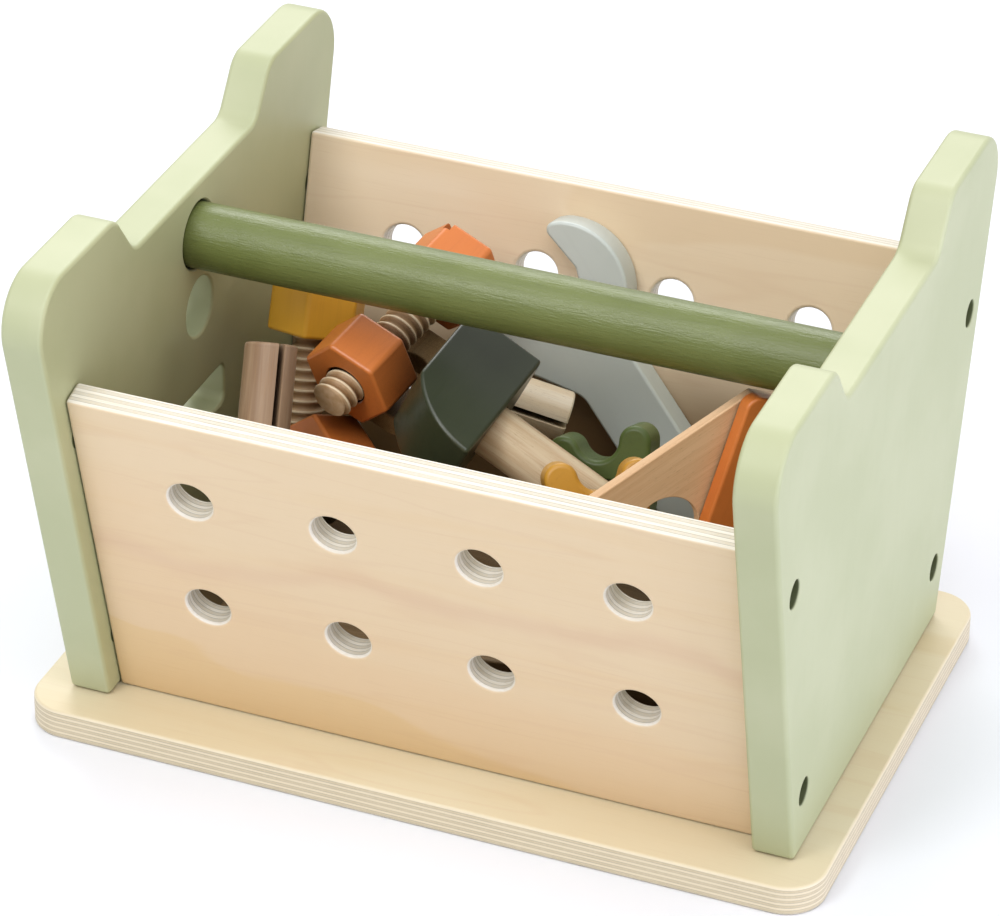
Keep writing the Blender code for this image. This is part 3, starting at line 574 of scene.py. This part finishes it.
# painted shade: the inner faces darken to brown towards the bottom
for node, side, seed in (("front_panel", -1, 1.0), ("back_panel", 1, 6.0)):
    n = Vector((side, -PANEL_LEAN, 0)).normalized()          # ply normal in local axes
    start = n.dot(Vector((side * PANEL_Y_IN, BASE_T, 0)))
    if side < 0:
        look = plywood(node + "_plywood", tuple(n), start, PANEL_T, 7, 2, seed,
                       tones=("#DDC8A8", "#DCC29F", "#D9BC90"), rise=(0.0, 0.0035, 0.0009),
                       fall=-0.234, swing=0.6, band=(1, 90.0, 8.0),
                       low_shade=("wall", (1, 108.0, 62.0)))
    else:
        # painted light: the same plywood as the front panel, in paler tones for its shaded inner face
        look = plywood(node + "_plywood", tuple(n), start, PANEL_T, 7, 2, seed,
                       tones=("#E9D8BF", "#E5D1B4", "#E1CAAA"),
                       low_shade=("wall", (1, 108.0, 62.0)))
    long_panel(node, side, look)

half = END_X_IN + ROD_SEAT - GAP
rod = turned("handle_rod_looks",
             [(ROD_R - 1.0, -half), (ROD_R - 0.3, -half + 0.3), (ROD_R, -half + 1.0),
              *[(ROD_R, -half + 1.0 + (2 * half - 2.0) * k / 60) for k in range(1, 60)],
              (ROD_R, half - 1.0), (ROD_R - 0.3, half - 0.3), (ROD_R - 1.0, half)],
             96, frame_at((0, 0, ROD_Z), (0, 1, 0), (0, 0, 1)))
show(settle(rod), "handle_rod",
     paint("rod_green", "#646E3A", "#6D7742", "#4C5628", 2, 5.0, rough=(0.26, 0.42), grain=0.36,
           pores=0.30, fibre=(0.16, 1.3), relief=0.40))

steel_look = steel("dull_steel")
for node, obj in frame["nodes"].items():
    if node.startswith("screw_"):
        obj.data.materials.clear()
        obj.data.materials.append(steel_look)


# ------------------------------------------------------------ bolts and nuts
ORANGE = dict(body="#CC7233", lit="#D47C3B", wear_and_thread_shade="#AC5A23")


def thread(node, length, matrix, look):
    """Threaded dowel: a rounded helical groove cut into a turned rod."""
    sides, per = 96, 14
    levels = round(length / THREAD_PITCH * per)
    rings = []
    for j in range(levels + 1):
        z = length * j / levels
        row = []
        for k in range(sides):
            phase = (z / THREAD_PITCH - k / sides) % 1.0
            groove = max(0.0, 1.0 - abs(phase - 0.5) / 0.43)
            groove = 1 - (1 - groove) ** 1.7
            depth = THREAD_DEPTH * groove
            edge = min(z, length - z)
            if edge < 0.7:
                depth = max(depth, 0.7 * (1 - edge / 0.7) ** 1.3)
            rr = THREAD_R - depth
            row.append((rr * cos(2 * pi * k / sides), rr * sin(2 * pi * k / sides), z))
        rings.append(row)
    return show(settle(loft(node + "_looks", rings, matrix), sharp=60, weighted=False), node, look)


def hex_piece(node, low, matrix, turn, look, cutters):
    piece = soften(slab(node + "_looks", hexagon(HEX_AF, turn), low, low + HEX_T, matrix), 1.4, 5, 30)
    return show(settle(piece, cutters), node, look)


def driver_slot(at, turn, matrix, deep=4.0, wide=3.2):
    c, s = cos(radians(turn)), sin(radians(turn))
    box = [(-22, -wide / 2), (22, -wide / 2), (22, wide / 2), (-22, wide / 2)]
    return slab("slot", [(a * c - b * s, a * s + b * c) for a, b in box], at - deep, at + 3.0, matrix)


def bolt(tag, matrix, head_at, turn, slot_turn, shades, seed):
    seat = 12.0
    # the thread wood gets painted shade in its grooves and painted highlight on its crests
    thread(tag + "_shank", head_at + seat - GAP, matrix,
           bare_wood(tag + "_thread_wood", 2, seed, "#CDB090", "#B8966F", "#94704D",
                     groove=(THREAD_R - THREAD_DEPTH, THREAD_R, "#94734F", "#EBDABD")))
    cutters = [turned("seat", [(THREAD_R + GAP + 0.6, head_at - 3.0), (THREAD_R + GAP + 0.6, head_at),
                               (THREAD_R + GAP, head_at + 0.6), (THREAD_R + GAP, head_at + seat)],
                      64, matrix),
               driver_slot(head_at + HEX_T, slot_turn, matrix)]
    hex_piece(tag + "_head", head_at, matrix, turn,
              paint(tag + "_paint", along=2, seed=seed, rough=(0.34, 0.44), grain=0.07, coat=0.18, **shades),
              cutters)


axis_a = Vector((0.252, 0.929, 0.272)).normalized()
end_a = Vector((-65.7, -12.4, 109.0))
up_a = Vector((0.246, -0.333, 0.910))
side_a = up_a.cross(axis_a)
m_a = frame_at(end_a, side_a, axis_a.cross(side_a))
bolt("bolt_orange", m_a, 63.4, 2.0, 62.0, ORANGE, 4.0)
hex_piece("nut_orange", 9.24, m_a, 0.0,
          paint("nut_orange_paint", along=2, seed=7.0, rough=(0.34, 0.44), grain=0.07, coat=0.40, **ORANGE),
          [flared("bore", NUT_BORE_R, 9.24, 29.24, 0.8, m_a, 64)])

axis_b = Vector((-0.012, 0.351, 0.936)).normalized()
x_b = Vector((-0.846, -0.503, 0.177))
head_b = Vector((-91.8, 33.7, 107.45))
# painted light: this head's yellow is brighter than the wing nut's same paint, for light it lacks under the rod
bolt("bolt_yellow", frame_at(head_b - axis_b * 50.0, x_b, axis_b.cross(x_b)), 50.0, 8.0, 158.0,
     dict(body="#E9AF36", lit="#EFB941", wear_and_thread_shade="#CC9429", nook_shade=None), 9.0)

axis_c = Vector((0.514, 0.780, -0.357)).normalized()
up_c = Vector((0.014, 0.408, 0.913))
top_c = Vector((-75.4, -5.3, 98.0))
m_c = frame_at(top_c - up_c * (HEX_AF / sqrt(3.0)), up_c.cross(axis_c), up_c)
hex_piece("nut_orange_loose", 0.0, m_c, 30.0,
          paint("nut_loose_paint", along=2, seed=11.0, rough=(0.34, 0.44), grain=0.07, coat=0.18, **ORANGE),
          [flared("bore", NUT_BORE_R, 0.0, HEX_T, 0.8, m_c, 64)])


# ------------------------------------------------------------ pegs
def peg(node, origin, along, side, length, seed, shades):
    m = frame_at(origin, side, Vector(along).cross(Vector(side)))
    body = turned(node + "_looks",
                  [(PEG_R - 1.2, -length), (PEG_R - 0.55, -length + 0.18), (PEG_R - 0.18, -length + 0.55),
                   (PEG_R, -length + 1.2), (PEG_R, -1.2), (PEG_R - 0.18, -0.55),
                   (PEG_R - 0.55, -0.18), (PEG_R - 1.2, 0.0)], 80, m)
    half = PEG_KERF / 2
    kerf = slab("kerf", [(PEG_R - 7.5, -half), (PEG_R - 0.5, -half), (PEG_R + 0.3, -half - 0.45),
                         (PEG_R + 4, -half - 0.45), (PEG_R + 4, half + 0.45),
                         (PEG_R + 0.3, half + 0.45), (PEG_R - 0.5, half), (PEG_R - 7.5, half)],
                -length - 4.0, 4.0, m)
    return show(settle(body, [kerf]), node, bare_wood(node + "_beech", 2, seed, *shades))


peg("peg_left", (-82.94, -24.3, 135.43), (-0.137, 0.552, 0.820), (0.708, -0.533, 0.464), 50.0, 1.5,
    ("#A68D75", "#8C7058"))
# painted light: this peg's beech is made nearly white for light it lacks in the shade of the rod and hammer
peg("peg_right", (0.7, 53.65, 81.4), (0.929, 0.222, -0.299), (0.316, -0.939, 0.135), 34.0, 6.5,
    ("#F4E8D3", "#EAD7BA", "#A27E58", (0.30, 0.42)))

# ------------------------------------------------------------ hammer
m_h = frame_at((-1.4, -4.3, 117.7), (0.123, 0.978, 0.171), (-0.888, 0.031, 0.458))
centre = 8.2
cut_x = centre - sqrt(HAMMER_ARC_R ** 2 - HAMMER_H ** 2)
first = 180.0 - acos((centre - cut_x) / HAMMER_ARC_R) * 180 / pi
head_outline = [(HAMMER_L / 2, 0.0), (HAMMER_L / 2, HAMMER_H)] + circle(centre, 0.0, HAMMER_ARC_R, first, 180.0, 26)
head = soften(slab("hammer_head_looks", head_outline, -HAMMER_T, 0.0, m_h), 1.6, 5, 25)
m_hh = m_h @ frame_at((0, 0, -HAMMER_T / 2), (1, 0, 0), (0, 0, 1))
show(settle(head, [turned("seat", [(HANDLE_R + GAP, -HANDLE_IN), (HANDLE_R + GAP, -0.7),
                                   (HANDLE_R + GAP + 0.7, 0.02), (HANDLE_R + GAP + 0.7, 6.0)], 72, m_hh)]),
     "hammer_head",
     paint("hammer_dark_green", "#2D3423", "#363D2A", "#1F2411", 0, 3.3, rough=(0.30, 0.42),
           grain=0.05, coat=0.25))
handle = turned("hammer_handle_looks",
                [(HANDLE_R - 1.0, -HANDLE_IN + GAP), (HANDLE_R, -HANDLE_IN + 1 + GAP),
                 *[(HANDLE_R, -HANDLE_IN + 2 + k * (HANDLE_L + HANDLE_IN - 6) / 20) for k in range(21)],
                 (HANDLE_R - 0.35, HANDLE_L - 2.6), (HANDLE_R - 1.2, HANDLE_L - 1.2),
                 (HANDLE_R - 2.5, HANDLE_L - 0.35), (HANDLE_R - 4, HANDLE_L)], 80, m_hh)
show(settle(handle), "hammer_handle", bare_wood("hammer_beech", 2, 4.7, "#D4C2A4", "#C1A584"))


# ------------------------------------------------------------ wrench
def wrench_outline():
    head = Vector((0.6, -90.9))
    q, a = Vector((0.979, -0.203)), Vector((0.203, 0.979))
    at = lambda u, v: tuple(head + q * u + a * v)
    gap = 12.7
    pts = []
    for k in [0] + list(range(4, 29)):
        ang = radians(-64.0 + (62.0 + 64.0) * k / 28)
        x, y = at(3.0 + 25.5 * cos(ang), 1.0 + 25.5 * sin(ang))
        pts.append((x, y, 3.0 if k == 0 else 0.0))
    pts.append((12.85, -62.5, 12.0))
    pts += [(x, y, 0.0) for x, y in circle(0.0, 33.2, 12.85, 0, 180, 36)]
    pts.append((-12.85, -52.5, 9.0))
    for k in list(range(22)) + [26]:
        ang = radians(150.0 + (252.0 - 150.0) * k / 26)
        x, y = at(-4.0 + 28.0 * cos(ang), 5.0 + 28.0 * sin(ang))
        pts.append((x, y, 3.0 if k == 26 else 0.0))
    pts += [(*at(-gap, -1.0), 3.0), (*at(-gap * 0.55, 8.0), 3.0), (*at(gap * 0.55, 8.0), 3.0),
            (*at(gap, -1.0), 3.0)]
    return rounded(pts, 8)


up_w = Vector((0, PANEL_LEAN, 1)).normalized()
out_w = Vector((0, -1, PANEL_LEAN)).normalized()
p_w = Vector((1, 0, 0)) * 0.747 + up_w * 0.665
w_w = Vector((1, 0, 0)) * 0.665 - up_w * 0.747
o_w = Vector((0, PANEL_Y_IN, BASE_T)) + out_w * (GAP + WRENCH_T) + p_w * 59.5 + Vector((1.0, 0, 0)) - up_w * 1.5
wrench = soften(slab("wrench_looks", wrench_outline(), 0.0, WRENCH_T, frame_at(o_w, p_w, w_w)), 1.3, 5, 30)
show(settle(wrench), "wrench",
     paint("wrench_grey", "#BDC4BF", "#C5CBC6", "#ADB3AE", 1, 2.2, rough=(0.30, 0.40), grain=0.04, streaks=0.10,
           nook_shade=None))

# ------------------------------------------------------------ set square
m_s = frame_at((86.9, -6.3, 147.3), (-0.675, -0.651, 0.348), (0.194, 0.299, 0.934))
leg, w, (tip_c, tip_b) = SQUARE_LEG, SQUARE_BAR_W, SQUARE_TIP
blade = soften(slab("set_square_blade_looks",
                    rounded([(-w, -leg, 2.5), (leg + tip_b + tip_c, -leg, 3.0), (tip_c, tip_b, 2.0),
                             (-w, tip_b, 2.5)], 9), 0.0, SQUARE_T, m_s), 0.7, 4, 30)
m_sh = m_s @ Matrix.Translation((SQUARE_HOLE_AT[0] * MM, SQUARE_HOLE_AT[1] * MM, 0))
show(settle(blade, [flared("bore", SQUARE_HOLE_R, 0.0, SQUARE_T, 0.5, m_sh, 84)]), "set_square_blade",
     bare_wood("blade_wood", 0, 7.7, "#E8C49E", "#DCB48B", "#B98F66", turn=(0.0, 0.0, 45.0)))
bar = soften(slab("set_square_bar_looks",
                  rounded([(-w, -leg, 3.0), (0.0, -leg, 3.0), (0.0, tip_b + 0.6, 5.0),
                           (-w, tip_b + 0.6, 4.0)], 6), -GAP - SQUARE_BAR_T, -GAP, m_s), 1.2, 5, 30)
show(settle(bar), "set_square_bar",
     paint("set_square_bar_paint", along=1, seed=2.0, rough=(0.30, 0.42), grain=0.08, coat=0.15, **ORANGE))


# ------------------------------------------------------------ wing nuts
def wing_nut(node, origin, ex, ey, look):
    lx, ly, lr, br = WING_LOBE_X, WING_LOBE_Y, WING_LOBE_R, WING_BODY_R
    vr = (lx ** 2 + (ly - WING_VALLEY_Y) ** 2 - lr ** 2) / (2 * (lr - WING_VALLEY_Y + ly))
    vc = WING_VALLEY_Y + vr
    dist = sqrt(lx ** 2 + ly ** 2)
    to_ear = Vector((lx, ly)).angle_signed(Vector((1, 0)))
    tangent = to_ear - acos((br - lr) / dist)
    meet = Vector((lx, ly - vc)).angle_signed(Vector((1, 0)))
    deg = 180 / pi
    body = circle(0, 0, br, -90, tangent * deg, 24)
    ear = circle(lx, ly, lr, tangent * deg, meet * deg + 180, 24)
    valley = circle(0, vc, vr, meet * deg, -90, 10)[1:]
    right = body + ear + valley
    outline = right + [(-a, b) for a, b in reversed(right[1:-1])]
    m = frame_at(origin, ex, ey)
    nut = soften(slab(node + "_looks", outline, -WING_T, 0.0, m), 2.0, 5, 35)
    return show(settle(nut, [flared("bore", WING_BORE_R, -WING_T, 0.0, 0.8, m, 64)]), node, look)


wing_nut("wing_nut_green", (30.9, 14.7, 74.3), (0.943, 0.153, 0.295), (-0.332, 0.359, 0.872),
         paint("leaf_green", "#4F6030", "#596B38", "#3F4D24", 2, 3.9, rough=(0.32, 0.44), grain=0.06))
wing_nut("wing_nut_yellow", (45.6, -29.9, 90.4), (0.881, 0.473, 0.010), (-0.237, 0.422, 0.875),
         paint("wing_yellow", along=2, seed=6.6, rough=(0.32, 0.44), grain=0.06,
               body="#B9862A", lit="#C49135", wear_and_thread_shade="#9A6C22"))


# ------------------------------------------------------------ planks
# painted shade: the default tones are darker than the short plank's beech to stand for the shade at the box bottom,
# and the nook shade is strong
def plank(node, origin, ex, ey, holes, seed, pitch=PLANK_PITCH, ends=20.0,
          shades=("#9A8468", "#80694C")):
    half, w = pitch * (holes - 1) / 2 + ends, PLANK_W / 2
    m = frame_at(origin, ex, ey)
    board = soften(slab(node + "_looks", rounded([(half, -w, 9.0), (half, w, 9.0), (-half, w, 9.0),
                                                  (-half, -w, 9.0)], 8), -PLANK_T, 0.0, m), 1.2, 4)
    cutters = [flared("hole", PLANK_HOLE_R, -PLANK_T, 0.0, 0.7,
                      m @ Matrix.Translation((pitch * (k - (holes - 1) / 2) * MM, 0, 0)), 56)
               for k in range(holes)]
    return show(settle(board, cutters), node,
                bare_wood(node + "_beech", 0, seed, *shades, nook_shade=(1.0, 1.0, 80.0, 0.60)))


drop = 0.057
along_a = (axis_a - up_a * drop).normalized()
short_from, short_to = 19.0, 62.0
middle = (short_from + short_to) / 2
plank("plank_short", end_a + axis_a * middle - up_a * (16.9 + drop * (middle - 29.0)) - side_a * 6.7,
      along_a, side_a.cross(axis_a).cross(along_a) * -1.0, 1, 3.0, ends=(short_to - short_from) / 2,
      shades=("#CDB794", "#B99A72"))
plank("plank_long_1", (-4.0, -38.0, 21.9), (1.0, 0.02, 0.0), (0.0, 1.0, 0.0), 4, 1.0)
plank("plank_long_2", (5.0, 1.0, 21.9), (1.0, -0.03, 0.0), (0.0, 1.0, 0.0), 4, 4.0)
plank("plank_long_3", (1.0, -22.0, 32.3), (1.0, 0.13, 0.0), (0.0, 1.0, 0.0), 4, 7.0)
plank("plank_long_4", (-3.0, 4.0, 42.7), (1.0, -0.10, 0.0), (0.0, 1.0, 0.0), 4, 9.0)

# ------------------------------------------------------------ floor, light, camera
floor = slab("floor", rounded([(2600, -2200, 300), (2600, 3200, 300), (-2600, 3200, 300),
                               (-2600, -2200, 300)], 15), -20.0, -0.05, Matrix.Identity(4))
g = Graph("pale_floor")
mottle = g.noise(g.stretch((0.004, 0.004, 0.004)), 2.0)
floor.data.materials.append(g.end(g.mix(mottle, rgb("#DFE1E7"), rgb("#E4E6EB")), 0.85,
                                  Specular_IOR_Level=0.2))

world = bpy.data.worlds.new("studio")
bpy.context.scene.world = world
world.use_nodes = True
sky = world.node_tree.nodes["Background"]
sky.inputs["Color"].default_value = (1.0, 1.0, 1.0, 1.0)
sky.inputs["Strength"].default_value = 0.62


def softbox(name, at, towards, size, power, colour=(1, 1, 1)):
    light = bpy.data.lights.new(name, "AREA")
    light.shape = "RECTANGLE"
    light.size, light.size_y = size
    light.energy = power
    light.color = colour
    obj = bpy.data.objects.new(name, light)
    bpy.context.scene.collection.objects.link(obj)
    obj.location = at
    obj.rotation_mode = "QUATERNION"
    obj.rotation_quaternion = (Vector(towards) - Vector(at)).to_track_quat("-Z", "Y")
    return obj


softbox("overhead", (0.10, -0.55, 1.75), (0, 0, 0.05), (1.7, 1.3), 17.6)
softbox("back", (-0.6, 1.5, 1.3), (0, 0, 0.1), (1.4, 0.9), 20.0)
softbox("key", (-0.50, -1.25, 1.35), (0, 0, 0.1), (0.55, 0.45), 8.5)
softbox("right", (1.6, -0.3, 0.40), (0, 0, 0.1), (1.0, 0.6), 11.8, (0.97, 0.98, 1.17))

camera = bpy.data.objects.new("camera", bpy.data.cameras.new("camera"))
bpy.context.scene.collection.objects.link(camera)
az, el, roll = radians(21.04), radians(31.65), radians(0.936)
fwd = Vector((-sin(az) * cos(el), cos(az) * cos(el), -sin(el)))
right = Vector((cos(az), sin(az), 0))
up = right.cross(fwd)
r_cam = right * cos(roll) + up * sin(roll)
u_cam = -right * sin(roll) + up * cos(roll)
m = Matrix((r_cam, u_cam, -fwd)).transposed().to_4x4()
m.translation = Vector((502.4, -1316.8, 965.8)) * MM
camera.matrix_world = m
camera.data.sensor_width = 36.0
camera.data.lens = 167.116
camera.data.shift_x, camera.data.shift_y = -0.00238, -0.00744
camera.data.clip_start, camera.data.clip_end = 0.05, 50.0
bpy.context.scene.camera = camera
bpy.context.scene.view_settings.view_transform = "Standard"
bpy.context.scene.view_settings.look = "None"
